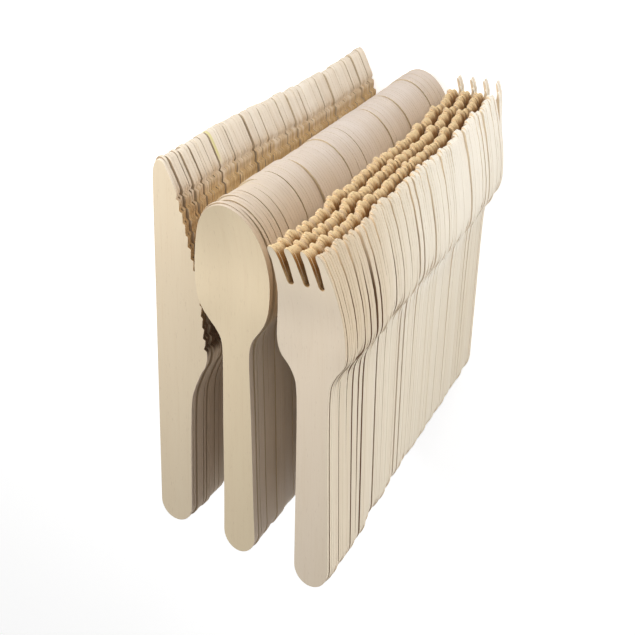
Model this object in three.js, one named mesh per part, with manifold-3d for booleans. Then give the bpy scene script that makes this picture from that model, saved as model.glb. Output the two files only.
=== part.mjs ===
// Wooden cutlery set: a hundred knives, a hundred spoons and a hundred forks,
// piled flat in three stacks side by side. Millimetres, +Z up.
// X runs from the knives to the forks, Y from the handle ends to the heads,
// and the set stands on the lowest piece of each stack.
import * as THREE from 'three';
import { mergeVertices } from 'three/addons/utils/BufferGeometryUtils.js';
import Module from 'manifold-3d';

const wasm = await Module();
wasm.setup();

// How a stack is made up: the top pieces are single, and the rest come in bundles
// of nine, in which a few neighbours at a time lie flush.
const piecesInStack = 100;
const singlePieces = 10;
const piecesInBundle = 9;
const faceGap = 0.02;
const joinDepth = 0.03;

// Driving sizes of each kind. Pitch is one piece with the air on it, and middle is
// where the top piece lies. A row of sway is [index, x, y, turn in degrees], and it
// says how far the stack has slid and turned by the piece with that index.
const knife = {
  length: 163,
  handleHalfWidth: 7.45,
  handleEndLength: 8.6,
  pitch: 1.73,
  middle: { x: -34.9, y: -1.3 },
  sidePlay: 0.2,
  endPlay: 0.4,
  turnPlay: 0.2,
  runs: [[3, 2, 4], [5, 4], [2, 4, 3]],
  sway: [[0, 0, 0, -1.22], [4, 1.2, 0.8, -1.1], [20, 1, 0.5, -1.1], [35, 1, 0, -1.15],
    [50, 2, -1.9, -1.2], [80, 2.8, -2.5, -1.25], [92, 3, -1.8, -1.25], [99, 4.2, 0.2, -1.25]],
};
const spoon = {
  length: 157,
  handleHalfWidth: 7.1,
  handleEndLength: 9,
  pitch: 1.81,
  middle: { x: 0, y: 0 },
  sidePlay: 0.25,
  endPlay: 0.4,
  turnPlay: 0.2,
  runs: [[5, 4], [3, 6], [4, 5], [6, 3]],
  sway: [[0, 0, 0, 0.2], [4, 0, 0.2, 0.1], [20, -0.4, 0, 0], [35, 0.6, -0.2, 0],
    [80, 1.4, 0, 0.05], [99, 1, 0.7, 0.1]],
};
const fork = {
  length: 151.5,
  handleHalfWidth: 7.2,
  handleEndLength: 9,
  tinePitch: 5.8,
  tineHalfWidth: 1.45,
  tipLength: 2,
  slotFloor: 133.6,
  pitch: 1.91,
  middle: { x: 37.2, y: 3.1 },
  sidePlay: 0.3,
  endPlay: 0.7,
  turnPlay: 0.2,
  runs: [[4, 5], [6, 3], [5, 4], [3, 6]],
  sway: [[0, 0, 0, 0.45], [4, -0.4, -0.6, 0.4], [10, -1.2, -1.3, 0.2], [20, -3.2, -1.3, -0.2],
    [35, -5.4, -1.7, -0.8], [65, -7.6, -1.8, -1.4], [80, -8.5, -1, -1.5],
    [94, -8.4, 1.2, -1.3], [96, -8.4, 5.4, -1.2], [99, -8.8, 6.6, -1.2]],
};

// The pressed heads. Along the middle line the height follows rise, a list of
// [y, height], and either side of it the head slopes up by sideSlope.
const spoonPress = {
  rise: [[-20, 0], [98, 0], [110, 0], [128, 0], [142, 2.4], [172, 14.2]],
  sideSlope: 0.13,
  flatUntil: 98,
  slopedFrom: 110,
};
const forkPress = {
  rise: [[-20, 0], [100, 0], [112, 0], [122, 0.6], [131, 2.8], [172, 23.9]],
  sideSlope: 0.13,
  flatUntil: 100,
  slopedFrom: 112,
};
const pressHalfWidth = 24;

const birch = {
  knife: { color: 0xdecdb1, roughness: 0.75 },
  spoon: { color: 0xe1cfb0, roughness: 0.75 },
  fork: { color: 0xe4d6bd, roughness: 0.75 },
};

function ellipsePoints(centreY, radiusX, radiusY, fromDegrees, toDegrees, steps) {
  const points = [];
  for (let step = 0; step <= steps; step += 1) {
    const angle = THREE.MathUtils.degToRad(fromDegrees + (step * (toDegrees - fromDegrees)) / steps);
    points.push([radiusX * Math.cos(angle), centreY + radiusY * Math.sin(angle)]);
  }
  return points;
}

function handleEnd(kind) {
  return ellipsePoints(kind.handleEndLength, kind.handleHalfWidth, kind.handleEndLength, 180, 360, 4);
}

function mirrored(points) {
  return points.map(([x, y]) => [-x, y]).reverse();
}

// The knife: a straight back on the left, a bellied edge on the right that runs
// out to a small blunt tip.
function knifeOutline() {
  const edge = [[8.2, 62], [12.6, 76], [15.4, 84.5], [12.2, 114], [8.6, 130], [2.6, 152]];
  const tip = [[-1.2, knife.length - 4.6], [-3.8, knife.length], [-6.2, knife.length - 0.8],
    [-knife.handleHalfWidth, knife.length - 8]];
  return [...handleEnd(knife), ...edge, ...tip];
}

// The spoon: a waisted handle that opens straight into an egg-shaped bowl.
function spoonOutline() {
  const neck = [[5.8, 99], [12.4, 108.5], [15.3, 116]];
  const bowlWidestY = 123;
  const bowlHalfWidth = 15.5;
  const bowl = ellipsePoints(bowlWidestY, bowlHalfWidth, spoon.length - bowlWidestY, 0, 180, 8);
  return [...handleEnd(spoon), ...neck, ...bowl, ...mirrored(neck)];
}

// The fork: broad shoulders, a head that narrows a little, and four blunt tines.
function forkOutline() {
  const side = [[6.4, 92], [12.1, 101.5], [13.4, 108.5], [11.3, 130]];
  const comb = [];
  for (let tine = 0; tine < 4; tine += 1) {
    const tineX = (1.5 - tine) * fork.tinePitch;
    comb.push([tineX + fork.tineHalfWidth, fork.length - fork.tipLength]);
    comb.push([tineX, fork.length]);
    comb.push([tineX - fork.tineHalfWidth, fork.length - fork.tipLength]);
    if (tine < 3) {
      const slotX = tineX - fork.tinePitch / 2;
      comb.push([slotX + 0.95, fork.slotFloor]);
      comb.push([slotX - 0.95, fork.slotFloor]);
    }
  }
  return [...handleEnd(fork), ...side, ...comb, ...mirrored(side)];
}

// A number from -1 to 1 that looks random but is always the same for one seed.
function scatter(seed) {
  const wave = Math.sin(seed * 12.9898 + 4.1414) * 43758.5453;
  return 2 * (wave - Math.floor(wave)) - 1;
}

// The x, y and turn of a sway table between its rows.
function swayAt(table, index) {
  const last = table.length - 1;
  let step = 0;
  while (step < last - 1 && index > table[step + 1][0]) step += 1;
  const [from, to] = [table[step], table[step + 1]];
  const share = (index - from[0]) / (to[0] - from[0]);
  return [1, 2, 3].map((column) => from[column] + share * (to[column] - from[column]));
}

// Where a run lies in its stack: index counts pieces from the top, which is 0.
function placeOf(kind, index, seed) {
  const play = index === 0 ? 0 : 1;
  const [swayX, swayY, turn] = swayAt(kind.sway, index);
  return {
    x: kind.middle.x + swayX + play * kind.sidePlay * scatter(seed + index * 3),
    y: kind.middle.y + swayY + play * kind.endPlay * scatter(seed + index * 3 + 1),
    turn: THREE.MathUtils.degToRad(turn + play * kind.turnPlay * scatter(seed + index * 3 + 2)),
  };
}

// The upright wall of one run, as tall as the shape that it is cut from.
function standingOutline(outline, place, lowZ, highZ) {
  const turned = outline.map(([x, y]) => new THREE.Vector2(
    place.x + x * Math.cos(place.turn) - y * Math.sin(place.turn),
    place.y + x * Math.sin(place.turn) + y * Math.cos(place.turn),
  ));
  const geometry = new THREE.ExtrudeGeometry(new THREE.Shape(turned), {
    depth: highZ - lowZ,
    bevelEnabled: false,
  });
  return geometry.translate(0, 0, lowZ);
}

// A sheet as thick as one run, folded up as the press folds the heads of its stack.
function pressedSheet(press, middleX, lowZ, highZ) {
  const columns = [-pressHalfWidth, 0, pressHalfWidth];
  const rows = press.rise.length;
  const position = [];
  const index = [];
  for (const faceZ of [lowZ, highZ]) {
    for (const [y, rise] of press.rise) {
      const slope = press.sideSlope * THREE.MathUtils.clamp(
        (y - press.flatUntil) / (press.slopedFrom - press.flatUntil), 0, 1);
      for (const x of columns) {
        position.push(middleX + x, y, faceZ + rise + slope * Math.abs(x));
      }
    }
  }
  const corner = (face, row, column) => (face * rows + row) * columns.length + column;
  const quad = (a, b, c, d) => index.push(a, b, c, a, c, d);
  for (let row = 0; row < rows - 1; row += 1) {
    const next = row + 1;
    quad(corner(1, row, 1), corner(1, next, 1), corner(1, next, 0), corner(1, row, 0));
    quad(corner(1, row, 1), corner(1, row, 2), corner(1, next, 2), corner(1, next, 1));
    quad(corner(0, next, 0), corner(0, next, 1), corner(0, row, 1), corner(0, row, 0));
    quad(corner(0, next, 2), corner(0, row, 2), corner(0, row, 1), corner(0, next, 1));
    quad(corner(0, row, 0), corner(1, row, 0), corner(1, next, 0), corner(0, next, 0));
    quad(corner(0, row, 2), corner(0, next, 2), corner(1, next, 2), corner(1, row, 2));
  }
  for (const column of [0, 1]) {
    const far = rows - 1;
    quad(corner(0, 0, column), corner(0, 0, column + 1), corner(1, 0, column + 1), corner(1, 0, column));
    quad(corner(0, far, column), corner(1, far, column), corner(1, far, column + 1), corner(0, far, column + 1));
  }
  const geometry = new THREE.BufferGeometry();
  geometry.setAttribute('position', new THREE.Float32BufferAttribute(position, 3));
  geometry.setIndex(index);
  return geometry;
}

function toSolid(geometry) {
  const bare = geometry.clone();
  bare.deleteAttribute('normal');
  bare.deleteAttribute('uv');
  const merged = mergeVertices(bare, 1e-4);
  return new wasm.Manifold(new wasm.Mesh({
    numProp: 3,
    vertProperties: new Float32Array(merged.attributes.position.array),
    triVerts: new Uint32Array(merged.index.array),
  }));
}

function toGeometry(solid) {
  const mesh = solid.getMesh();
  const geometry = new THREE.BufferGeometry();
  geometry.setAttribute('position', new THREE.Float32BufferAttribute(mesh.vertProperties, 3));
  geometry.setIndex(new THREE.Uint32BufferAttribute(mesh.triVerts, 1));
  geometry.computeVertexNormals();
  return geometry;
}

// One run of neighbours that lie flush. A flat kind is its wall cut to thickness,
// and a pressed kind is its wall cut by the folded sheet.
function runSolid(kind, outline, press, place, lowZ, highZ) {
  if (!press) return toSolid(standingOutline(outline, place, lowZ, highZ));
  const tallest = highZ + press.rise.at(-1)[1];
  const wall = toSolid(standingOutline(outline, place, lowZ - 1, tallest));
  return wall.intersect(toSolid(pressedSheet(press, kind.middle.x, lowZ, highZ)));
}

// One node: the runs that start at the piece called first, joined face to face.
function bundleMesh(kind, names, outline, press, seed, first, runs) {
  const lowest = runs.reduce((sum, count) => sum + count, first);
  let from = first;
  let solid = null;
  for (const count of runs) {
    const highZ = (piecesInStack - from) * kind.pitch + (from === first ? -faceGap : joinDepth);
    const lowZ = (piecesInStack - from - count) * kind.pitch;
    const run = runSolid(kind, outline, press, placeOf(kind, from, seed), lowZ, highZ);
    solid = solid ? solid.add(run) : run;
    from += count;
  }
  const material = new THREE.MeshStandardMaterial({ ...birch[names.one], metalness: 0 });
  const mesh = new THREE.Mesh(toGeometry(solid), material);
  const number = (piece) => String(piece).padStart(3, '0');
  mesh.name = lowest - first === 1
    ? `${names.one}_${number(lowest)}`
    : `${names.many}_${number(first + 1)}_to_${number(lowest)}`;
  return mesh;
}

function stackGroup(kind, names, outline, press, seed) {
  const group = new THREE.Group();
  for (let piece = 0; piece < singlePieces; piece += 1) {
    group.add(bundleMesh(kind, names, outline, press, seed, piece, [1]));
  }
  const bundles = (piecesInStack - singlePieces) / piecesInBundle;
  for (let bundle = 0; bundle < bundles; bundle += 1) {
    const first = singlePieces + bundle * piecesInBundle;
    const runs = kind.runs[bundle % kind.runs.length];
    group.add(bundleMesh(kind, names, outline, press, seed, first, runs));
  }
  return group;
}

const set = new THREE.Group();
set.add(stackGroup(knife, { one: 'knife', many: 'knives' }, knifeOutline(), null, 11));
set.add(stackGroup(spoon, { one: 'spoon', many: 'spoons' }, spoonOutline(), spoonPress, 23));
set.add(stackGroup(fork, { one: 'fork', many: 'forks' }, forkOutline(), forkPress, 37));

// The origin is the middle of the set's footprint, on the surface that it stands on.
const middle = new THREE.Box3().setFromObject(set).getCenter(new THREE.Vector3());
set.position.set(-middle.x, -middle.y, 0);

export default set;
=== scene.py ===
import math

import bpy
from mathutils import Matrix, Vector
from mathutils.geometry import delaunay_2d_cdt


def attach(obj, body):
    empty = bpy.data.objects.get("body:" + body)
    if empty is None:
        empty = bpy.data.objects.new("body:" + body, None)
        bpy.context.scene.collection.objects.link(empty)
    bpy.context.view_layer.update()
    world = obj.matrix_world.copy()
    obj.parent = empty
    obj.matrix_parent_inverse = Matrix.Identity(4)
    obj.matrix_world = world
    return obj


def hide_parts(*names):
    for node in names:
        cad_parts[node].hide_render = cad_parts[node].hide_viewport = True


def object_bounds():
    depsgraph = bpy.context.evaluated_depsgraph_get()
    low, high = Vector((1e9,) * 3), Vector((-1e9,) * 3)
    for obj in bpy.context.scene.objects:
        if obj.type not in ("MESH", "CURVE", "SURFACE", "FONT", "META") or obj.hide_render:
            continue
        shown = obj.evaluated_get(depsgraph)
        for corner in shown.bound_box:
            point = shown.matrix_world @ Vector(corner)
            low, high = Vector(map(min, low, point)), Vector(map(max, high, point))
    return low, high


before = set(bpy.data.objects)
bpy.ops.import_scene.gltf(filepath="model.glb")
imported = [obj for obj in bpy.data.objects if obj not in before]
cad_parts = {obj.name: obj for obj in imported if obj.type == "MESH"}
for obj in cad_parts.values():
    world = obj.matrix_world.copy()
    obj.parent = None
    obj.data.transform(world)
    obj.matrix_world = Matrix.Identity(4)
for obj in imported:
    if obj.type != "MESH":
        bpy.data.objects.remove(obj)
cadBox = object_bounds()
print("frame loaded")

mm = 0.001
stack = {
    "pieces": 100, "singles": 10, "inBundle": 9,
    "shift": (-3.850578, -79.382858),  # from the top spoon's handle end to the middle of the set
    "hairline": 0.02,  # air between two pieces that lie tight
    "evenOut": 8,  # the air between the groups adds up to the same over this many groups
    "leastAir": 0.04,  # the smallest weight for the air under a group
    # painted shade: the first face of each group browns by its slack, as if darkened in the gap above it
    "gapShadePerAir": 3.0,  # how much a group's first face darkens for a millimetre of slack
    "fanPower": 1.15,  # how the pieces fan out towards the heads: 1 is a straight wedge
}

# Each of these makes a row of random numbers of its own from a kind's seed.
salts = {"groupSize": 17, "handleAir": 31, "headAir": 43, "groupPlace": 7, "batch": 59}

# How the die leaves the rim of a piece: rows of (inset, depth below the face). The
# last row of a rim lies flat on the face, so that the face stays flat to its edge.
fineCut = {
    "rim": ((0.0, 0.3), (0.04, 0.14), (0.14, 0.04), (0.28, 0.0), (0.55, 0.0)),
    "curveStep": 1.5, "longStep": 9.0, "faceStep": 2.8,
}
plainCut = {
    "rim": ((0.0, 0.14), (0.04, 0.04), (0.14, 0.0), (0.5, 0.0)),
    "curveStep": 2.6, "longStep": 14.0, "faceStep": 6.5,
}

# When a point of an outline is kept: after a turn of so many degrees, once it is this
# share of curveStep away from the one before.
spacing = {"turn": 5, "turnStep": 0.6, "slightTurn": 1.2, "slightStep": 2.2, "lastStep": 0.4}

# The net of points inside a pressed face. Its shares are of faceStep.
faceNet = {"from": 96.0, "halfWidth": 18.0, "rowShare": 0.87, "rimShare": 0.45}


def smoothThrough(points, parts=12):
    # a smooth line through the points, in so many parts from each to the next
    rows = [points[0]] + list(points) + [points[-1]]
    curve = []
    for before, start, end, after in zip(rows, rows[1:], rows[2:], rows[3:]):
        for part in range(parts):
            t = part / parts
            curve.append(tuple(
                0.5 * (2 * s + (e - b) * t + (2 * b - 5 * s + 4 * e - a) * t * t
                       + (3 * s - b - 3 * e + a) * t ** 3)
                for b, s, e, a in zip(before, start, end, after)))
    return curve + [tuple(points[-1])]


def handleEnd(kind, parts=16):
    # the round end of the handle, from its left side to its right
    points = []
    for part in range(parts + 1):
        angle = math.pi + math.pi * part / parts
        points.append((kind["handleHalfWidth"] * math.cos(angle),
                       kind["handleEndLength"] * (1 + math.sin(angle))))
    return points


def mirrored(points):
    return [(-x, y) for x, y in reversed(points)]


def spaced(points, cut):
    # keeps a point where the line turns, and one at least every longStep
    curveStep = cut["curveStep"]
    kept = [points[0]]
    turned = 0.0
    for before, point, after in zip(points, points[1:], points[2:]):
        heading = math.atan2(point[1] - before[1], point[0] - before[0])
        nextHeading = math.atan2(after[1] - point[1], after[0] - point[0])
        turned += abs(math.remainder(nextHeading - heading, 2 * math.pi))
        gone = math.dist(kept[-1], point)
        turns = turned > math.radians(spacing["turn"]) and gone >= curveStep * spacing["turnStep"]
        bends = turned > math.radians(spacing["slightTurn"]) and gone >= curveStep * spacing["slightStep"]
        if gone >= cut["longStep"] or turns or bends:
            kept.append(point)
            turned = 0.0
    if len(kept) > 1 and math.dist(kept[-1], points[-1]) < curveStep * spacing["lastStep"]:
        kept.pop()
    return kept + [points[-1]]


def scatter(seed):
    # from -1 to 1, and always the same for one seed
    wave = math.sin(seed * 12.9898 + 4.1414) * 43758.5453
    return 2 * (wave - math.floor(wave)) - 1


# The knife: straight back on the left, bellied edge with saw teeth on the right. In
# every kind, pitch is one piece with the air on it, slack holds rows of (piece, air
# that it brings), sway rows of (piece, x, y, turn in degrees), and headOpen and
# handleOpen say how the air is shared out under the first groups from the top.
knife = {
    "one": "knife", "many": "knives", "slot": "knife_wood", "seed": 11,
    "handleHalfWidth": 7.45, "handleEndLength": 8.6,
    "edge": ((7.6, 30), (7.8, 50), (8.3, 62), (9.6, 68), (12.6, 76), (14.6, 80), (15.4, 84.5),
             (15.1, 89), (14.5, 94), (13.6, 102), (12.2, 114), (8.6, 130), (5.4, 143), (2.6, 152)),
    "tip": ((0.6, 156.2), (-1.2, 159.6), (-2.4, 161.9), (-3.8, 163.0), (-5.3, 162.9), (-6.5, 161.2),
            (-7.2, 158.6), (-7.45, 155)),
    "back": (130, 100, 70, 40),  # where the straight back gets its points
    "teethFrom": 87.0, "teethTo": 150.0, "teethAtMost": 20,  # more than fit on the edge
    "toothPitch": 4.8, "toothDepth": 0.95, "toothUneven": 0.25,
    "toothProfile": ((0.0, 0.0), (0.2, 1.0), (0.62, 0.42)),  # (share of the pitch, share of the depth)
    "pitch": 1.73, "slack": ((0, 0.22), (14, 0.14), (36, 0.09), (50, 0.05), (99, 0.04)),
    "rimRound": 0.7, "middle": (-34.9, -1.3),
    "sidePlay": 0.2, "endPlay": 0.4, "turnPlay": 0.2,
    "runs": ((3, 2, 4), (5, 4), (2, 4, 3)),
    "sway": ((0, 0, 0, -1.22), (4, 1.2, 0.8, -1.1), (20, 1, 0.5, -1.1), (35, 1, 0, -1.15),
             (50, 2, -1.9, -1.2), (80, 2.8, -2.5, -1.25), (92, 3, -1.8, -1.25), (99, 4.2, 0.2, -1.25)),
    "firstGroups": (1, 1, 1, 2, 1, 2, 2, 2, 3, 3), "groupSizes": (2, 5),
    "headOpen": (0.7, 0.6, 0.5, 0.8, 0.5, 0.9, 0.7, 0.9, 1.0, 0.8),
    "handleOpen": (0.3, 0.2, 0.2, 0.3, 0.2, 0.3, 0.2, 0.3, 0.3, 0.2),
    "openPower": 1.6, "fanFrom": 70.0, "fanTo": 155.0,
    "groupSide": 0.15, "groupEnd": 0.25, "groupTurn": 0.08, "crown": 0.1, "tineLean": 0.0,
    "looseSide": 0.05, "looseEnd": 0.15,
    "odd": {18: (0.3, 2.4, 0.0)},  # a stray piece: how far aside, onward, and its tines lean
    "press": {"bendFrom": 120, "bend": 0.0,
              "dishFrom": 100, "dishTo": 112, "dishSlope": 0.0, "dishSoft": 4.0},
}


def knifeOutline(cut):
    # rows of (x, y, depth of the tooth there), as for every kind
    edge = smoothThrough(((knife["handleHalfWidth"], knife["handleEndLength"]),) + knife["edge"])
    tip = smoothThrough((knife["edge"][-1],) + knife["tip"])
    end = spaced(handleEnd(knife), cut)
    below = spaced([p for p in edge if p[1] <= knife["teethFrom"]], cut)
    toothed = [p for p in edge if knife["teethFrom"] < p[1] < knife["teethTo"]]
    above = spaced([p for p in edge if p[1] >= knife["teethTo"]] + tip[1:], cut)
    stations = [(tooth + share, depth) for tooth in range(knife["teethAtMost"])
                for share, depth in knife["toothProfile"]]
    teeth = []
    travelled = 0.0
    for start, finish in zip(toothed, toothed[1:]):
        length = math.dist(start, finish)
        while stations[len(teeth)][0] * knife["toothPitch"] <= travelled + length:
            place, depth = stations[len(teeth)]
            share = (place * knife["toothPitch"] - travelled) / length
            uneven = 1 + knife["toothUneven"] * scatter(len(teeth))
            teeth.append((start[0] + share * (finish[0] - start[0]),
                          start[1] + share * (finish[1] - start[1]),
                          depth * knife["toothDepth"] * uneven))
        travelled += length
    back = [(-knife["handleHalfWidth"], y) for y in knife["back"]]
    outline = [(x, y, 0.0) for x, y in end + below[1:]]
    return outline + teeth + [(x, y, 0.0) for x, y in above + back]


# The spoon: a waisted handle and an egg-shaped bowl, a little dished.
spoon = {
    "one": "spoon", "many": "spoons", "slot": "spoon_wood", "seed": 23,
    "length": 156.7, "handleHalfWidth": 7.1, "handleEndLength": 9.0,
    "side": ((6.6, 30), (6.25, 60), (5.85, 80), (5.7, 92), (6.3, 98), (8.2, 102), (11.0, 106),
             (13.4, 110.5), (14.9, 115.5), (15.5, 122), (15.4, 129), (14.3, 137), (12.4, 144.4),
             (9.6, 150.3), (5.4, 154.9)),
    "pitch": 1.81, "slack": ((0, 0.13), (12, 0.08), (24, 0.022), (99, 0.012)),
    "rimRound": 0.35, "middle": (0, 0),
    "sidePlay": 0.25, "endPlay": 0.4, "turnPlay": 0.2,
    "runs": ((5, 4), (3, 6), (4, 5), (6, 3)),
    "sway": ((0, 0, 0, 0.2), (4, 0, 0.2, 0.1), (20, -0.4, 0, 0), (35, 0.6, -0.2, 0),
             (80, 1.4, 0, 0.05), (99, 1, 0.7, 0.1)),
    "firstGroups": (1, 1, 1, 2, 1, 2, 3, 4, 5), "groupSizes": (4, 8),
    "headOpen": (0.7, 0.4, 0.5, 0.7, 0.5, 0.6, 0.4, 0.5, 1.6),
    "handleOpen": (0.4, 0.3, 0.3, 0.6, 0.3, 0.5, 0.4, 0.5, 0.6),
    "openPower": 1.0, "fanFrom": 95.0, "fanTo": 150.0,
    "groupSide": 0.1, "groupEnd": 0.2, "groupTurn": 0.06, "crown": 0.0, "tineLean": 0.0,
    "looseSide": 0.05, "looseEnd": 0.08, "odd": {},
    "press": {"bendFrom": 125, "bend": 0.008,
              "dishFrom": 98, "dishTo": 116, "dishSlope": 0.16, "dishSoft": 4.0},
}


def spoonOutline(cut):
    right = ((spoon["handleHalfWidth"], spoon["handleEndLength"]),) + spoon["side"]
    around = spaced(smoothThrough(list(right) + [(0.0, spoon["length"])] + mirrored(right)), cut)
    end = spaced(handleEnd(spoon), cut)
    return [(x, y, 0.0) for x, y in end + around[1:-1]]


# The fork: broad shoulders, four blunt tines, and a head that bends up to the tips.
# Crown is how far the outer pieces of a group lie back, and taper and droop shape the
# tines of the stray pieces.
fork = {
    "one": "fork", "many": "forks", "slot": "fork_wood", "seed": 37,
    "length": 151.5, "handleHalfWidth": 7.2, "handleEndLength": 9.0,
    "side": ((6.9, 30), (6.4, 60), (6.2, 80), (6.5, 90), (7.4, 94), (9.4, 98), (11.9, 101.5),
             (13.0, 104.6), (13.4, 108.5), (13.2, 114), (12.4, 122), (11.4, 130), (10.7, 139)),
    "tines": 4, "tinePitch": 5.8, "slotHalfWidth": 1.1, "slotFloor": 133.4,
    "slotRound": ((1.0, 1.2), (0.66, 0.3), (0.0, 0.0)),  # (share of the half width, height)
    "tip": ((1.46, 7.0), (1.4, 3.4), (1.2, 1.7), (0.85, 0.6), (0.42, 0.1)),  # (half width, how far back)
    "pitch": 1.91, "slack": ((0, 0.43), (12, 0.4), (24, 0.3), (32, 0.09), (44, 0.03), (99, 0.015)),
    "rimRound": 0.4, "middle": (37.2, 3.1),
    "sidePlay": 0.3, "endPlay": 0.7, "turnPlay": 0.2,
    "runs": ((4, 5), (6, 3), (5, 4), (3, 6)),
    "sway": ((0, 0, 0, 0.45), (4, -0.4, -0.6, 0.4), (10, -1.2, -1.3, 0.2), (20, -3.2, -1.3, -0.2),
             (35, -5.4, -1.7, -0.8), (65, -7.6, -1.8, -1.4), (80, -8.5, -1, -1.5),
             (94, -8.4, 1.2, -1.3), (96, -8.4, 5.4, -1.2), (99, -8.8, 6.6, -1.2)),
    "firstGroups": (1, 2, 3, 4, 3, 3, 2, 4, 3, 3), "groupSizes": (2, 4),
    "headOpen": (0.8, 1.3, 1.3, 1.4, 0.2, 1.1, 1.0, 1.7, 0.5, 0.3),
    "handleOpen": (0.5, 0.3, 0.5, 0.4, 0.4, 0.2, 0.6, 0.4, 0.3, 1.0),
    "openPower": 1.2, "fanFrom": 98.0, "fanTo": 151.5,
    "groupSide": 0.2, "groupEnd": 0.5, "groupTurn": 0.12, "crown": 1.3, "tineLean": 0.45,
    "looseSide": 0.1, "looseEnd": 0.25, "taper": 0.6, "droop": -3.5,
    "odd": {97: (-0.3, 0.3, 1.4), 98: (-0.9, 0.7, 2.2), 99: (-1.5, 1.1, 3.0)},
    "press": {"bendFrom": 114, "bend": 0.0089,
              "dishFrom": 100, "dishTo": 116, "dishSlope": 0.15, "dishSoft": 4.0},
}


def forkOutline(cut):
    side = smoothThrough(((fork["handleHalfWidth"], fork["handleEndLength"]),) + fork["side"])
    side = spaced(side, cut)
    tip = [(x, fork["length"] - back) for x, back in fork["tip"]]
    slot = [(fork["slotHalfWidth"] * share, fork["slotFloor"] + rise) for share, rise in fork["slotRound"]]
    comb = []
    for tine in range(fork["tines"]):
        middle = ((fork["tines"] - 1) / 2 - tine) * fork["tinePitch"]
        comb += [(middle + x, y) for x, y in tip + [(0.0, fork["length"])]]
        comb += [(middle - x, y) for x, y in reversed(tip)]
        if tine < fork["tines"] - 1:
            middle -= fork["tinePitch"] / 2
            comb += [(middle + x, y) for x, y in slot]
            comb += [(middle - x, y) for x, y in reversed(slot[:-1])]
    points = spaced(handleEnd(fork), cut) + side[1:] + comb + mirrored(side[1:])
    return [(x, y, 0.0) for x, y in points]


def outwardNormals(outline, sharpest=0.6):
    # which way each corner moves outwards, and a sharp one not too far
    normals = []
    for number, (x, y, _) in enumerate(outline):
        before, after = outline[number - 1], outline[(number + 1) % len(outline)]
        first = Vector((y - before[1], before[0] - x)).normalized()
        second = Vector((after[1] - y, x - after[0])).normalized()
        middle = (first + second).normalized()
        normals.append(middle / max(sharpest, middle.dot(first)))
    return normals


def isInside(x, y, ring, margin):
    # whether a point is inside the ring and at least the margin away from it
    inside = False
    for (ax, ay), (bx, by) in zip(ring, ring[1:] + ring[:1]):
        if (ay > y) != (by > y) and x < ax + (y - ay) * (bx - ax) / (by - ay):
            inside = not inside
        length = math.dist((ax, ay), (bx, by)) or 1.0
        share = min(1.0, max(0.0, ((x - ax) * (bx - ax) + (y - ay) * (by - ay)) / length ** 2))
        if math.dist((x, y), (ax + share * (bx - ax), ay + share * (by - ay))) < margin:
            return False
    return inside


def facePoints(kind, ring, step):
    # points inside the face where the head is pressed, so that it can bend smoothly
    if not kind["press"]["bend"]:
        return []
    points = []
    row = 0
    y = faceNet["from"]
    while y < kind["length"]:
        x = -faceNet["halfWidth"] + (step / 2 if row % 2 else 0)
        while x < faceNet["halfWidth"]:
            if isInside(x, y, ring, step * faceNet["rimShare"]):
                points.append((x, y))
            x += step
        y += step * faceNet["rowShare"]
        row += 1
    return points


def cutBlank(kind, outline, cut, name):
    # one flat piece with its rim, lying with its underside on the ground
    normals = outwardNormals(outline)
    thickness = kind["pitch"]
    rim = [(inset * kind["rimRound"], depth * kind["rimRound"]) for inset, depth in cut["rim"]]
    rings = [(inset, thickness - depth) for inset, depth in reversed(rim)]
    rings += [(inset, depth) for inset, depth in rim]
    points = []
    for inset, height in rings:
        for (x, y, notch), normal in zip(outline, normals):
            depth = inset + notch
            points.append((x - normal.x * depth, y - normal.y * depth, height))
    count = len(outline)
    faces = []
    for ring in range(len(rings) - 1):
        upper, lower = ring * count, (ring + 1) * count
        for number in range(count):
            after = (number + 1) % count
            faces.append((lower + number, lower + after, upper + after, upper + number))
    loop = [point[:2] for point in points[:count]]
    inner = facePoints(kind, loop, cut["faceStep"])
    found = delaunay_2d_cdt([Vector(p) for p in loop + inner], [], [list(range(count))], 1, 1e-5)
    bottomStart = len(points) - count
    upperInner = len(points)
    lowerInner = upperInner + len(inner)
    points += [(x, y, thickness) for x, y in inner] + [(x, y, 0.0) for x, y in inner]
    for triangle in found[2]:
        corners = [found[3][corner][0] for corner in triangle]
        top = [c if c < count else upperInner + c - count for c in corners]
        bottom = [bottomStart + c if c < count else lowerInner + c - count for c in corners]
        faces.append(tuple(top))
        faces.append(tuple(reversed(bottom)))
    mesh = bpy.data.meshes.new(name)
    mesh.from_pydata([(x * mm, y * mm, z * mm) for x, y, z in points], [], faces)
    faceRows = {0, 1, len(rings) - 2, len(rings) - 1}
    onFace = [number >= len(rings) * count or number // count in faceRows
              for number in range(len(points))]
    mesh.attributes.new("lie", "FLOAT_VECTOR", "POINT").data.foreach_set(
        "vector", [value * mm for point in points for value in point])
    mesh.attributes.new("rimShare", "FLOAT", "POINT").data.foreach_set(
        "value", [0.0 if flat else 1.0 for flat in onFace])
    for polygon in mesh.polygons:
        polygon.use_smooth = True
    blank = bpy.data.objects.new(name, mesh)
    bpy.context.scene.collection.objects.link(blank)
    return blank


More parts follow.
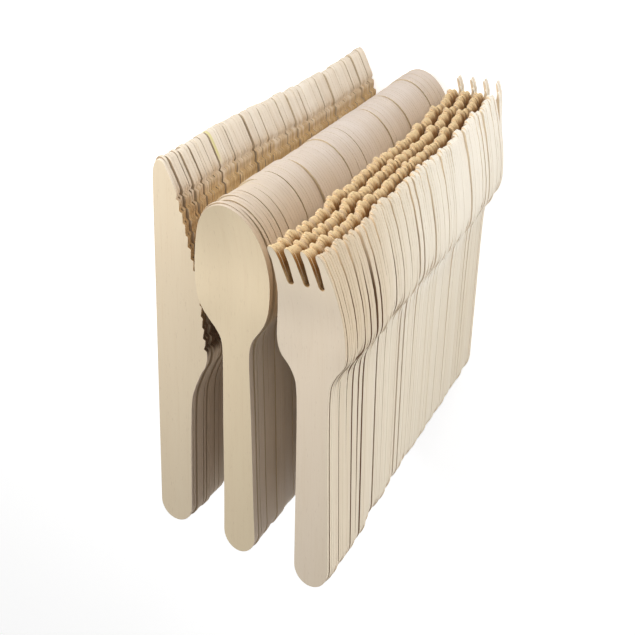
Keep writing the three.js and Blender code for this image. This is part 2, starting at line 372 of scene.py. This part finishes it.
class Wire:
    # one output socket, which adds Math nodes when it is used in an expression
    def __init__(self, plan, socket):
        self.plan = plan
        self.socket = socket

    def calc(self, operation, *others):
        values = dict(enumerate((self,) + others))
        return self.plan.out("ShaderNodeMath", {"operation": operation}, values)

    def __add__(self, other):
        return self.calc("ADD", other)

    def __radd__(self, other):
        return self.calc("ADD", other)

    def __sub__(self, other):
        return self.calc("SUBTRACT", other)

    def __rsub__(self, other):
        return self.calc("MULTIPLY", -1.0).calc("ADD", other)

    def __mul__(self, other):
        return self.calc("MULTIPLY", other)

    def __rmul__(self, other):
        return self.calc("MULTIPLY", other)

    def __truediv__(self, other):
        return self.calc("DIVIDE", other)

    def __pow__(self, other):
        return self.calc("POWER", other)

    def ramp(self, low, high):
        # 0 below low, 1 above high, straight between
        return self.plan.out("ShaderNodeMapRange", None,
                             {"Value": self, "From Min": low, "From Max": high})

    def above(self, low, high, share=1.0):
        # 0 below low, the share above high, smooth between
        return self.plan.out("ShaderNodeMapRange", {"interpolation_type": "SMOOTHSTEP"},
                             {"Value": self, "From Min": low, "From Max": high, "To Max": share})

    def below(self, low, high, share=1.0):
        # the share below low, 0 above high, smooth between
        return share - self.above(low, high, share)


class Plan:
    # a node tree that is being wired
    def __init__(self, tree):
        self.tree = tree

    def plug(self, socket, value):
        if isinstance(value, Wire):
            self.tree.links.new(value.socket, socket)
        else:
            socket.default_value = value

    def named(self, sockets, name):
        # a socket by its identifier, or else by its name or place
        found = [s for s in sockets if s.identifier == name]
        return found[0] if found else sockets[name]

    def add(self, kind, settings=None, values=None):
        node = self.tree.nodes.new(kind)
        for name, value in (settings or {}).items():
            setattr(node, name, value)
        for name, value in (values or {}).items():
            self.plug(self.named(node.inputs, name), value)
        return node

    def out(self, kind, settings=None, values=None, output=0):
        node = self.add(kind, settings, values)
        return Wire(self, self.named(node.outputs, output))

    def axes(self, vector):
        outputs = self.add("ShaderNodeSeparateXYZ", None, {0: vector}).outputs
        return [Wire(self, socket) for socket in outputs]

    def mixed(self, share, first, second):
        return self.out("ShaderNodeMix", {"data_type": "RGBA"},
                        {"Factor_Float": share, "A_Color": first, "B_Color": second}, "Result_Color")


# What each place in a stack says about its piece, besides where it lies. Spring and
# lean are in metres, at the head and at the tips.
placeValues = {
    "number": "INT",
    "turn": "FLOAT", "spring": "FLOAT", "lean": "FLOAT", "odd": "FLOAT", "thickness": "FLOAT",
    "dusk": "FLOAT", "batch": "FLOAT",
}
laySizes = ("Loose Side", "Loose End", "Middle", "Bend From", "Bend", "Dish From", "Dish To",
            "Dish Slope", "Dish Soft", "Fan From", "Fan To", "Lean From", "Tine Pitch", "Taper", "Droop")


def buildLayTree():
    # lays copies of a blank on the given places, presses the heads and joins the lot
    tree = bpy.data.node_groups.new("layPieces", "GeometryNodeTree")
    inputs = {"Geometry": "NodeSocketGeometry", "Blank": "NodeSocketObject",
              "Material": "NodeSocketMaterial", "Seed": "NodeSocketInt"}
    inputs.update((name, "NodeSocketFloat") for name in laySizes)
    for name, socketType in inputs.items():
        tree.interface.new_socket(name, in_out="INPUT", socket_type=socketType)
    tree.interface.new_socket("Geometry", in_out="OUTPUT", socket_type="NodeSocketGeometry")
    plan = Plan(tree)
    given = {name: Wire(plan, socket)
             for name, socket in zip(inputs, plan.add("NodeGroupInput").outputs)}
    stored = {name: plan.out("GeometryNodeInputNamedAttribute", {"data_type": valueType},
                             {"Name": name}, "Attribute")
              for name, valueType in placeValues.items()}

    def chance(low, high, step):
        return plan.out("FunctionNodeRandomValue", {"data_type": "FLOAT"}, {
            "Min_001": low, "Max_001": high, "ID": stored["number"],
            "Seed": given["Seed"] + float(step),
        }, "Value_001")

    shift = plan.out("ShaderNodeCombineXYZ", None, {
        "X": chance(-1.0, 1.0, 1) * given["Loose Side"],
        "Y": chance(-1.0, 1.0, 2) * given["Loose End"],
        "Z": 0.0,
    })
    placed = plan.out("GeometryNodeSetPosition", None, {"Geometry": given["Geometry"], "Offset": shift})
    toned = plan.out("GeometryNodeStoreNamedAttribute", {"data_type": "FLOAT", "domain": "POINT"},
                     {"Geometry": placed, "Name": "tone", "Value": chance(0.0, 1.0, 3)})
    blank = plan.out("GeometryNodeObjectInfo", {"transform_space": "ORIGINAL"},
                     {"Object": given["Blank"]}, "Geometry")
    euler = plan.out("ShaderNodeCombineXYZ", None, {"X": 0.0, "Y": 0.0, "Z": stored["turn"]})
    scale = plan.out("ShaderNodeCombineXYZ", None, {"X": 1.0, "Y": 1.0, "Z": stored["thickness"]})
    laid = plan.out("GeometryNodeInstanceOnPoints", None, {
        "Points": toned,
        "Instance": blank,
        "Rotation": plan.out("FunctionNodeEulerToRotation", None, {"Euler": euler}),
        "Scale": scale,
    })
    joined = plan.out("GeometryNodeRealizeInstances", None, {"Geometry": laid})
    x, y, _ = plan.axes(plan.out("GeometryNodeInputPosition"))
    bend = given["Bend"] * (y - given["Bend From"]).calc("MAXIMUM", 0.0) ** 2.0
    aside = ((x - given["Middle"]) ** 2.0 + given["Dish Soft"] ** 2.0) ** 0.5 - given["Dish Soft"]
    dish = given["Dish Slope"] * y.above(given["Dish From"], given["Dish To"]) * aside
    fanned = y.ramp(given["Fan From"], given["Fan To"]) ** stack["fanPower"]
    leaning = y.ramp(given["Lean From"], given["Fan To"])
    across = plan.axes(plan.out("GeometryNodeInputNamedAttribute", {"data_type": "FLOAT_VECTOR"},
                                {"Name": "lie"}, "Attribute"))[0]
    tineMiddle = ((across / given["Tine Pitch"]).calc("FLOOR") + 0.5) * given["Tine Pitch"]
    taper = (tineMiddle - across) * given["Taper"] * stored["odd"] * leaning
    droop = given["Droop"] * stored["odd"] * leaning
    rise = plan.out("ShaderNodeCombineXYZ", None, {
        "X": stored["lean"] * leaning + taper,
        "Y": 0.0,
        "Z": bend + dish + stored["spring"] * fanned + droop,
    })
    pressed = plan.out("GeometryNodeSetPosition", None, {"Geometry": joined, "Offset": rise})
    finished = plan.out("GeometryNodeSetMaterial", None,
                        {"Geometry": pressed, "Material": given["Material"]})
    plan.add("NodeGroupOutput", None, {0: finished})
    return tree


def shade(red, green, blue):
    # a colour as a screen shows it, 0 to 255, made linear
    return tuple((c / 255 / 12.92 if c <= 10 else ((c / 255 + 0.055) / 1.055) ** 2.4)
                 for c in (red, green, blue)) + (1.0,)


# Birch tints. The sunlit, palest and peach tints are painted light, the shadowed tint painted shade, the
# honey tint partly the wood's and partly painted shade, and tan and brown serve both the grain and painted
# shade.
birch = {
    "tan": shade(186, 154, 112),
    "brown": shade(128, 92, 60),
    "honeyShade": shade(158, 111, 57),
    "peachLit": shade(239, 213, 168),
    "sunlit": shade(255, 238, 212),
    "pale": shade(250, 243, 230),
    "sapwood": shade(226, 216, 160),
    "toothed": shade(188, 152, 100),
    "toothedPale": shade(218, 189, 142),
    "shadowed": shade(52, 38, 31),
}
# Each kind's tints; the rim tint for the top of the stack is painted shade
knife["tints"] = {
    "face": shade(224, 209, 183), "faceOther": shade(219, 201, 173),
    "rim": shade(244, 233, 217), "rimOther": shade(231, 216, 196), "rimFront": shade(234, 220, 200),
}
spoon["tints"] = {
    "face": shade(228, 212, 181), "faceOther": shade(222, 203, 173),
    "rim": shade(221, 208, 197), "rimOther": shade(216, 201, 187), "rimFront": shade(216, 198, 176),
}
fork["tints"] = {
    "face": shade(233, 218, 198), "faceOther": shade(226, 209, 185),
    "rim": shade(236, 226, 208), "rimOther": shade(227, 214, 192), "rimFront": shade(206, 184, 154),
}

# Waves of the grain per millimetre across, along and down through a piece, and detail.
grainSizes = {
    "streaks": (0.7, 0.018, 1.5, 3.0),
    "fibres": (2.6, 0.06, 4.2, 2.0),
    "clouds": (0.09, 0.014, 0.2, 2.0),
    "flecks": (2.3, 0.33, 2.6, 1.0),
    "rough": (1.5, 1.3, 1.6, 2.0),
    "wander": (0.06, 0.06, 0.26, 2.0),
    "sawLines": (0.5, 0.17, 1.3, 3.0),
    "sawHollows": (0.5, 0.23, 0.9, 2.0),
    "specks": (2.4, 2.4, 1.8, 1.0),
}

# Two or three numbers in a row are (from, to, share): a tint comes in from the first to
# the second, up to the share. They are of the grain, or else in millimetres.
wood = {
    "ownGrain": (41.0, 173.0, 97.0),  # how far apart two pieces take their grain
    "faceTurns": 3.1, "faceShare": 0.7, "rimTurns": 7.3, "rimShare": 0.5, "batchShare": 0.5,
    "clouds": (0.35, 0.75, 0.4), "streaks": (0.45, 0.8, 0.45), "fibres": (0.5, 0.8, 0.1),
    "flecks": (0.66, 0.74, 0.1), "dusk": 0.9,
    "rimStreaks": (0.4, 0.75, 0.4), "rimFibres": (0.52, 0.78, 0.15),
    # painted shade on the rims near the top of the stack, stronger towards the heads
    "top": (100.0, 200.0), "head": (92.0, 118.0, 0.5), "topShadeShare": 0.3,
    "roughness": 0.58, "streakRoughness": 0.16, "rimRoughness": 0.1, "gloss": 0.12,
    "fibreRelief": 0.5, "streakRelief": 0.4, "roughRelief": 0.15, "burrRelief": 1.6,
    "bumpStrength": 0.35, "bumpDepth": 0.25,
}


class BirchPlan(Plan):
    # the material of one kind, with what each piece knows about itself
    def __init__(self, material):
        super().__init__(material.node_tree)
        self.tone, self.rim, self.odd, self.dusk, self.batch = (
            self.out("ShaderNodeAttribute", {"attribute_name": stored}, None, "Fac")
            for stored in ("tone", "rimShare", "odd", "dusk", "batch"))
        lie = self.out("ShaderNodeAttribute", {"attribute_name": "lie"}, None, "Vector")
        self.across, self.along, self.deep = (axis / mm for axis in self.axes(lie))
        self.height = self.axes(self.out("ShaderNodeTexCoord", None, None, "Object"))[2] / mm

    def grain(self, size):
        perAcross, perAlong, perDeep, detail = grainSizes[size]
        ownAcross, ownAlong, ownDeep = wood["ownGrain"]
        place = self.out("ShaderNodeCombineXYZ", None, {
            "X": self.across * perAcross + self.tone * ownAcross,
            "Y": self.along * perAlong + self.tone * ownAlong,
            "Z": self.deep * perDeep + self.tone * ownDeep,
        })
        return self.out("ShaderNodeTexNoise", {"noise_dimensions": "3D"},
                        {"Vector": place, "Scale": 1.0, "Detail": detail}, "Fac")


knife["cut"] = {
    "stray": (150.0, 156.0),
    "teethStart": (83.0, 88.0), "teethEnd": (142.0, 157.0), "wander": 12.0,
    "edgeSide": (0.0, 3.0), "sawnShare": 0.95,
    "lines": (0.45, 0.75), "hollows": (0.56, 0.72, 0.5),
    "throat": (94.0, 108.0, 0.9),  # the shadow where the blade meets the handle
    "top": (140.0, 172.0, 0.35),
    # painted shade along the handle's right side
    "handle": (66.0, 88.0, 0.34), "handleSide": (2.0, 6.5),
}


def knifeRim(plan, colour):
    # brown where the teeth were sawn and browner at the top of the stack, with a painted shadow where the
    # blade meets the handle, painted shade along the handle's right side, and the stray's tip yellowish
    cut = knife["cut"]
    stray = plan.odd * plan.rim * plan.along.above(*cut["stray"])
    colour = plan.mixed(stray, colour, birch["sapwood"])
    ragged = plan.along + plan.grain("wander") * cut["wander"] - cut["wander"] / 2
    toothed = ragged.below(*cut["teethEnd"]) * plan.along.above(*cut["teethStart"])
    toothed = toothed * plan.rim * plan.across.above(*cut["edgeSide"])
    sawn = plan.mixed(plan.grain("sawLines").above(*cut["lines"]), birch["toothed"], birch["toothedPale"])
    sawn = plan.mixed(plan.grain("sawHollows").above(*cut["hollows"]), sawn, birch["brown"])
    sawn = plan.mixed(plan.along.below(*cut["throat"]), sawn, birch["shadowed"])
    sawn = plan.mixed(plan.height.above(*cut["top"]), sawn, birch["brown"])
    colour = plan.mixed(toothed * cut["sawnShare"], colour, sawn)
    # painted shade on the handle's right side, in the gap beside the spoon stack
    side = plan.along.below(*cut["handle"]) * plan.across.above(*cut["handleSide"]) * plan.rim
    return plan.mixed(side, colour, birch["brown"]), toothed


# painted shade on the bowl's right flank
spoon["cut"] = {"flank": (4.0, 15.5, 0.5), "bowl": (100.0, 115.0), "burr": 0.2}


def spoonRim(plan, colour):
    # painted shade: a little browner on the bowl's right flank
    cut = spoon["cut"]
    flank = plan.across.above(*cut["flank"]) * plan.along.above(*cut["bowl"]) * plan.rim
    return plan.mixed(flank, colour, birch["tan"]), plan.rim * cut["burr"]


fork["cut"] = {
    # painted light: paler rims low in the stack and on the shoulder
    "pale": (40.0, 140.0, 0.75), "paleBelow": (30.0, 160.0),
    "shoulderStart": (84.0, 94.0), "shoulderEnd": (100.0, 106.0), "shoulderBelow": (70.0, 160.0, 0.8),
    # painted light on the faces of the bent heads
    "face": (122.0, 146.0, 0.95),
    # between the tines: painted shade in the slots, a painted highlight on the tips, painted light on the
    # slot floors
    "leftTine": (-10.2, -9.4), "rightTine": (7.4, 8.4), "slots": (130.0, 134.0), "insideShare": 0.95,
    "tips": (147.2, 150.8, 0.9), "slotFloors": (135.0, 143.0, 0.6),
    "specks": (0.64, 0.7), "speckedHead": (140.0, 150.0, 0.35),
}


def forkRim(plan, colour):
    # painted light: paler low in the stack, on the shoulder and on the tine faces; between the tines a
    # honey tint, partly the wood's own and partly painted shade, with a painted highlight on the tips and
    # painted light on the slot floors
    cut = fork["cut"]
    # painted light: the rims paler low in the stack
    low = plan.height.below(*cut["paleBelow"]) * plan.along.above(*cut["pale"]) * plan.rim
    colour = plan.mixed(low, colour, birch["pale"])
    # painted light on the shoulder, lifting the shade of the crease below it
    litShoulder = plan.along.above(*cut["shoulderStart"]) * plan.along.below(*cut["shoulderEnd"])
    litShoulder = litShoulder * plan.rim * plan.height.below(*cut["shoulderBelow"])
    colour = plan.mixed(litShoulder, colour, birch["pale"])
    # painted light on the faces of the bent heads towards the tines
    colour = plan.mixed(plan.along.above(*cut["face"]) * (1.0 - plan.rim), colour, birch["sunlit"])
    between = plan.across.below(*cut["rightTine"]) * plan.across.above(*cut["leftTine"])
    inside = plan.along.above(*cut["slots"]) * plan.rim * between * (1.0 - plan.odd)
    # the wood's honey tint between the tines, darkened as painted shade; then a painted highlight on the
    # tips and painted light on the slot floors
    colour = plan.mixed(inside * cut["insideShare"], colour, birch["honeyShade"])
    colour = plan.mixed(inside * plan.along.above(*cut["tips"]), colour, birch["peachLit"])
    colour = plan.mixed(inside * plan.along.below(*cut["slotFloors"]), colour, birch["peachLit"])
    specks = plan.grain("specks").above(*cut["specks"]) * plan.along.above(*cut["speckedHead"])
    return plan.mixed(specks * plan.rim, colour, birch["brown"]), inside


def birchMaterial(kind, tintRim):
    material = bpy.data.materials.new(kind["one"] + "Birch")
    material.use_nodes = True
    plan = BirchPlan(material)
    shader = material.node_tree.nodes["Principled BSDF"]
    tints = kind["tints"]
    streaks, fibres = plan.grain("streaks"), plan.grain("fibres")
    colour = plan.mixed((plan.tone * wood["faceTurns"]).calc("FRACT") * wood["faceShare"],
                        tints["face"], tints["faceOther"])
    colour = plan.mixed(plan.grain("clouds").above(*wood["clouds"]), colour, tints["face"])
    colour = plan.mixed(streaks.above(*wood["streaks"]), colour, tints["faceOther"])
    colour = plan.mixed(fibres.above(*wood["fibres"]), colour, birch["tan"])
    colour = plan.mixed(plan.grain("flecks").above(*wood["flecks"]), colour, birch["brown"])
    # painted shade in the gaps: the first face of each group browned
    colour = plan.mixed(plan.dusk * wood["dusk"], colour, birch["brown"])
    # the cut rim shows the fibres end on, and each piece has a tint of its own there
    own = (plan.tone * wood["rimTurns"]).calc("FRACT") * wood["rimShare"] + plan.batch * wood["batchShare"]
    rimTint = plan.mixed(own, tints["rim"], tints["rimOther"])
    rimTint = plan.mixed(streaks.above(*wood["rimStreaks"]), rimTint, tints["rimOther"])
    rimTint = plan.mixed(fibres.above(*wood["rimFibres"]), rimTint, birch["tan"])
    # painted shade: the rims darker near the top of the stack, most at the heads
    shadedTop = plan.height.above(*wood["top"]) * (wood["topShadeShare"] + plan.along.above(*wood["head"]))
    rimTint = plan.mixed(shadedTop, rimTint, tints["rimFront"])
    colour, burr = tintRim(plan, plan.mixed(plan.rim, colour, rimTint))
    plan.plug(shader.inputs["Base Color"], colour)
    roughness = wood["roughness"] + streaks * wood["streakRoughness"] + plan.rim * wood["rimRoughness"]
    plan.plug(shader.inputs["Roughness"], roughness)
    relief = fibres * wood["fibreRelief"] + streaks * wood["streakRelief"]
    relief = relief + plan.grain("rough") * (wood["roughRelief"] + burr * wood["burrRelief"])
    bump = plan.out("ShaderNodeBump", None, {
        "Strength": wood["bumpStrength"], "Distance": wood["bumpDepth"] * mm, "Height": relief}, "Normal")
    plan.plug(shader.inputs["Normal"], bump)
    shader.inputs["Specular IOR Level"].default_value = wood["gloss"]
    return material


def swayAt(table, index):
    # how far the stack has slid and turned by this piece
    step = 0
    while step < len(table) - 2 and index > table[step + 1][0]:
        step += 1
    start, finish = table[step], table[step + 1]
    share = (index - start[0]) / (finish[0] - start[0])
    return [start[column] + share * (finish[column] - start[column]) for column in (1, 2, 3)]


def placeOf(kind, index):
    # where the run that begins with this piece lies in the model
    play = 0 if index == 0 else 1
    swayX, swayY, turn = swayAt(kind["sway"], index)
    seed = kind["seed"] + index * 3
    return (kind["middle"][0] + swayX + play * kind["sidePlay"] * scatter(seed),
            kind["middle"][1] + swayY + play * kind["endPlay"] * scatter(seed + 1),
            math.radians(turn + play * kind["turnPlay"] * scatter(seed + 2)))


def nodesOf(kind):
    # (name, first piece, number of pieces, first piece of each run) of every node of a stack
    nodes = [(f"{kind['one']}_{index + 1:03d}", index, 1, (index,)) for index in range(stack["singles"])]
    for bundle in range((stack["pieces"] - stack["singles"]) // stack["inBundle"]):
        first = stack["singles"] + bundle * stack["inBundle"]
        runs = kind["runs"][bundle % len(kind["runs"])]
        starts = tuple(first + sum(runs[:number]) for number in range(len(runs)))
        last = first + stack["inBundle"]
        nodes.append((f"{kind['many']}_{first + 1:03d}_to_{last:03d}", first, stack["inBundle"], starts))
    return nodes


def groupsOf(kind):
    # how many neighbours lie tight on each other, from the top of the stack down
    sizes = list(kind["firstGroups"])
    low, high = kind["groupSizes"]
    while sum(sizes) < stack["pieces"]:
        pick = (scatter(kind["seed"] * salts["groupSize"] + len(sizes)) + 1) / 2
        sizes.append(min(low + int(pick * (high - low + 1)), stack["pieces"] - sum(sizes)))
    return sizes


def slackAt(kind, index):
    # how much air a piece at this place brings with it
    for (low, first), (high, second) in zip(kind["slack"], kind["slack"][1:]):
        if index <= high:
            return first + (second - first) * (index - low) / (high - low)


def airUnder(kind, sizes, openings, salt):
    # the air under each group, which leaves the stack as high as it is
    spare = [size * slackAt(kind, sum(sizes[:group])) for group, size in enumerate(sizes)]
    weights = list(openings)
    for number in range(len(openings), len(sizes)):
        chance = abs(scatter(kind["seed"] * salt + number))
        weights.append(stack["leastAir"] + chance ** kind["openPower"])
    weights[-1] = 0.0
    air = []
    for start in range(0, len(sizes), stack["evenOut"]):
        part = slice(start, start + stack["evenOut"])
        share = sum(spare[part]) / (sum(weights[part]) or 1.0)
        air += [weight * share for weight in weights[part]]
    return air


def keptInside(kind, x, y, turn):
    # the nearest place at which no part of the piece leaves the model's box
    cosine, sine = math.cos(turn), math.sin(turn)
    reach = ([px * cosine - py * sine for px, py, _ in kind["outline"]],
             [px * sine + py * cosine for px, py, _ in kind["outline"]])
    kept = []
    for axis, place, loose in ((0, x, kind["looseSide"]), (1, y, kind["looseEnd"])):
        low = cadBox[0][axis] / mm + loose - min(reach[axis])
        high = cadBox[1][axis] / mm - loose - max(reach[axis])
        kept.append(min(max(place, low), high))
    return kept


def layOut(kind):
    # where and how each piece lies, from the top of the stack down
    runStarts = [start for node in nodesOf(kind) for start in node[3]]
    sizes = groupsOf(kind)
    atHandle = airUnder(kind, sizes, kind["handleOpen"], salts["handleAir"])
    atHead = airUnder(kind, sizes, kind["headOpen"], salts["headAir"])
    handleZ = headZ = stack["pieces"] * kind["pitch"]
    rows = []
    for group, size in enumerate(sizes):
        first = len(rows)
        x, y, turn = placeOf(kind, max(start for start in runStarts if start <= first))
        seed = kind["seed"] * salts["groupPlace"] + first * 5
        plays = enumerate(("groupSide", "groupEnd", "groupTurn", "tineLean"))
        side, end, twist, lean = (kind[play] * scatter(seed + way) if first else 0.0 for way, play in plays)
        facing = turn + math.radians(twist)
        thickness = kind["pitch"] - slackAt(kind, first)
        # painted shade for the gap above a group's first face
        dusk = min(1.0, stack["gapShadePerAir"] * slackAt(kind, first)) if first else 0.0
        for piece in range(size):
            number = first + piece
            handleZ -= thickness
            headZ -= thickness
            fromMiddle = abs(2 * piece - size + 1) / max(1, size - 1)
            crown = kind["crown"] * fromMiddle ** 2 if first else 0.0
            oddSide, oddEnd, oddLean = kind["odd"].get(number, (0.0, 0.0, 0.0))
            placeX, placeY = keptInside(kind, x + side + oddSide + stack["shift"][0],
                                        y + end - crown + oddEnd + stack["shift"][1], facing)
            rows.append({
                "number": number, "at": (placeX, placeY, handleZ), "turn": facing,
                "spring": (headZ - handleZ) * mm,
                "lean": (lean + oddLean) * mm,
                "odd": 1.0 if number in kind["odd"] else 0.0,
                "thickness": (thickness - stack["hairline"]) / kind["pitch"],
                "dusk": 0.0 if piece else dusk,
                "batch": abs(scatter(kind["seed"] * salts["batch"] + first)),
            })
        handleZ -= atHandle[group]
        headZ -= atHead[group]
    return rows


def layNode(kind, tree, blank, material, name, places):
    # the pieces of one node, made by the tree and baked to a mesh
    mesh = bpy.data.meshes.new("places")
    mesh.from_pydata([[value * mm for value in place["at"]] for place in places], [], [])
    for stored, valueType in placeValues.items():
        mesh.attributes.new(stored, valueType, "POINT").data.foreach_set(
            "value", [place[stored] for place in places])
    holder = bpy.data.objects.new("places", mesh)
    bpy.context.scene.collection.objects.link(holder)
    modifier = holder.modifiers.new("lay", "NODES")
    modifier.node_group = tree
    press = kind["press"]
    play = 0.0 if places[0]["number"] == 0 else mm
    sideways, onward = stack["shift"]
    values = {
        "Blank": blank, "Material": material, "Seed": kind["seed"] * 100,
        "Loose Side": kind["looseSide"] * play, "Loose End": kind["looseEnd"] * play,
        "Middle": (kind["middle"][0] + sideways) * mm,
        "Bend From": (press["bendFrom"] + onward) * mm, "Bend": press["bend"] / mm,
        "Dish From": (press["dishFrom"] + onward) * mm, "Dish To": (press["dishTo"] + onward) * mm,
        "Dish Slope": press["dishSlope"], "Dish Soft": press["dishSoft"] * mm,
        "Fan From": (kind["fanFrom"] + onward) * mm, "Fan To": (kind["fanTo"] + onward) * mm,
        "Lean From": (kind.get("slotFloor", kind["fanFrom"]) + onward) * mm,
        "Tine Pitch": kind.get("tinePitch", 1.0) * mm, "Taper": kind.get("taper", 0.0),
        "Droop": kind.get("droop", 0.0) * mm,
    }
    for item in tree.interface.items_tree:
        if item.item_type == "SOCKET" and item.in_out == "INPUT" and item.name in values:
            modifier[item.identifier] = values[item.name]
    graph = bpy.context.evaluated_depsgraph_get()
    made = bpy.data.meshes.new_from_object(holder.evaluated_get(graph), preserve_all_data_layers=True,
                                           depsgraph=graph)
    made.name = name + "_wood"
    holder.modifiers.clear()
    bpy.data.objects.remove(holder)
    piece = bpy.data.objects.new(name + "_wood", made)
    bpy.context.scene.collection.objects.link(piece)
    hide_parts(name)
    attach(piece, "root")


layTree = buildLayTree()
for kind, drawOutline, tintRim in ((knife, knifeOutline, knifeRim), (spoon, spoonOutline, spoonRim),
                                   (fork, forkOutline, forkRim)):
    material = birchMaterial(kind, tintRim)
    kind["outline"] = drawOutline(fineCut)
    fineBlank = cutBlank(kind, kind["outline"], fineCut, kind["one"] + "FineBlank")
    plainBlank = cutBlank(kind, drawOutline(plainCut), plainCut, kind["one"] + "PlainBlank")
    rows = layOut(kind)
    for name, first, count, _ in nodesOf(kind):
        blank = fineBlank if count == 1 else plainBlank
        layNode(kind, layTree, blank, material, name, rows[first:first + count])
    print(kind["many"], "laid:", len(fineBlank.data.polygons), "and",
          len(plainBlank.data.polygons), "faces a piece")
    for blank in (fineBlank, plainBlank):
        bpy.data.objects.remove(blank)


# The floor, the lamps and the camera are in metres, watts and degrees, and light is in
# shares of white.
studio = {
    "floorHalfWidth": 4.0, "floorColour": (0.92, 0.92, 0.92, 1.0),
    "floorRoughness": 0.9, "floorGloss": 0.1,
    "floorGlow": 0.6, "farGlow": (0.35, 1.2, 0.22),  # far off, the floor goes over into the white world
    "worldLevel": 0.2, "aim": (0.0, 0.0, 0.1),
    "lamps": (  # name, place, size and power
        ("faceLamp", (-0.16, 0.2, 0.42), 0.2, 1.09),
        ("sideLamp", (0.75, -0.1, 0.24), 0.45, 1.65),
        ("headLamp", (0.35, 0.6, 0.22), 0.4, 2.3),
        ("fillLamp", (0.4, -0.3, 0.5), 0.3, 0.45),
    ),
}
view = {
    "target": (0.01820783, 0.02364082, 0.15708791), "distance": 0.475652,
    "azimuth": 141.537245, "elevation": 52.784174, "roll": -133.983596,
    "lens": 70.866, "sensor": 36.0, "nearest": 0.01,
}


def seenDirectly(plan):
    # 1 for what the camera sees, also in gloss and through glass, and 0 for light on the pieces
    path = plan.add("ShaderNodeLightPath").outputs
    camera, glossy, through = (Wire(plan, path[name]) for name in
                               ("Is Camera Ray", "Is Glossy Ray", "Is Transmission Ray"))
    return camera.calc("MAXIMUM", glossy).calc("MAXIMUM", through)


def layFloor():
    half = studio["floorHalfWidth"]
    mesh = bpy.data.meshes.new("floor")
    mesh.from_pydata([(-half, -half, 0), (half, -half, 0), (half, half, 0), (-half, half, 0)],
                     [], [(0, 1, 2, 3)])
    floor = bpy.data.objects.new("floor", mesh)
    bpy.context.scene.collection.objects.link(floor)
    material = bpy.data.materials.new("paleFloor")
    material.use_nodes = True
    plan = Plan(material.node_tree)
    shader = material.node_tree.nodes["Principled BSDF"]
    shader.inputs["Base Color"].default_value = studio["floorColour"]
    shader.inputs["Roughness"].default_value = studio["floorRoughness"]
    shader.inputs["Specular IOR Level"].default_value = studio["floorGloss"]
    shader.inputs["Emission Strength"].default_value = 1.0
    place = plan.out("ShaderNodeTexCoord", None, None, "Object")
    away = plan.out("ShaderNodeVectorMath", {"operation": "LENGTH"}, {0: place}, "Value")
    glow = seenDirectly(plan) * (studio["floorGlow"] + away.above(*studio["farGlow"]))
    plan.plug(shader.inputs["Emission Color"], plan.mixed(glow, (0, 0, 0, 1), (1, 1, 1, 1)))
    mesh.materials.append(material)


def hangLamp(name, at, size, power):
    lamp = bpy.data.lights.new(name, "AREA")
    lamp.shape = "SQUARE"
    lamp.size = size
    lamp.energy = power
    holder = bpy.data.objects.new(name, lamp)
    holder.location = at
    holder.rotation_euler = (Vector(studio["aim"]) - Vector(at)).to_track_quat("-Z", "Y").to_euler()
    bpy.context.scene.collection.objects.link(holder)


def lightWorld():
    world = bpy.data.worlds.new("studio")
    world.use_nodes = True
    background = world.node_tree.nodes["Background"]
    background.inputs["Color"].default_value = (1, 1, 1, 1)
    plan = Plan(world.node_tree)
    level = studio["worldLevel"]
    plan.plug(background.inputs["Strength"], level + seenDirectly(plan) * (1.0 - level))
    bpy.context.scene.world = world


def placeCamera():
    camera = bpy.data.cameras.new("camera")
    camera.lens = view["lens"]
    camera.sensor_width = view["sensor"]
    camera.sensor_fit = "AUTO"
    camera.clip_start = view["nearest"]
    azimuth, elevation = math.radians(view["azimuth"]), math.radians(view["elevation"])
    back = Vector((math.sin(azimuth) * math.cos(elevation), -math.cos(azimuth) * math.cos(elevation),
                   math.sin(elevation)))
    right = (-back).cross(Vector((0, 0, 1))).normalized()
    up = right.cross(-back)
    roll = math.radians(view["roll"])
    rolledRight = right * math.cos(roll) + up * math.sin(roll)
    rolledUp = up * math.cos(roll) - right * math.sin(roll)
    holder = bpy.data.objects.new("camera", camera)
    rows = Matrix((rolledRight, rolledUp, back)).transposed().to_4x4()
    holder.matrix_world = Matrix.Translation(Vector(view["target"]) + back * view["distance"]) @ rows
    bpy.context.scene.collection.objects.link(holder)
    bpy.context.scene.camera = holder


layFloor()
for lamp in studio["lamps"]:
    hangLamp(*lamp)
lightWorld()
placeCamera()
bpy.context.scene.view_settings.view_transform = "Standard"
print("studio set")
